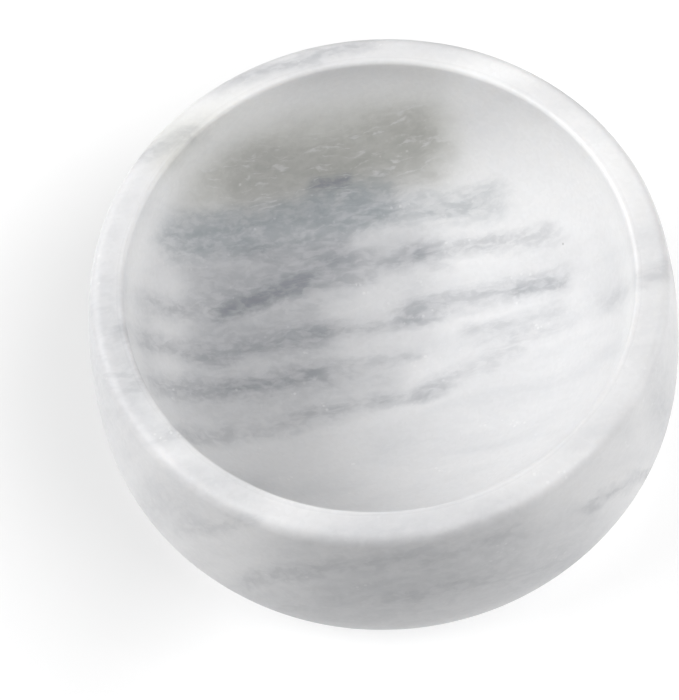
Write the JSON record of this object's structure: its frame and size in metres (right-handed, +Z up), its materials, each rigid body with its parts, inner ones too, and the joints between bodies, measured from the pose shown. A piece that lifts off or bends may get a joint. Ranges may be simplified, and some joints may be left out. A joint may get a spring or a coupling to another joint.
{
  "type": "shaving bowl",
  "caption": "Thick-walled round marble bowl with a smooth rounded hollow for working up shaving lather, on small foot pads.",
  "frame": {"origin": "on the bowl's axis, on the surface that the foot pads stand on", "axes": "+Z up along the axis that the bowl was turned about; -Y faces the side that is usually seen"},
  "size_m": [0.12, 0.12, 0.0565],
  "materials": {
    "marble": "honed white marble with soft grey veins",
    "pad_rubber": "matt moulded rubber"
  },
  "bodies": {
    "root": {"stone_bowl": "marble", "foot_pad_1": "pad_rubber", "foot_pad_2": "pad_rubber", "foot_pad_3": "pad_rubber", "foot_pad_4": "pad_rubber"}
  },
  "joints": []
}
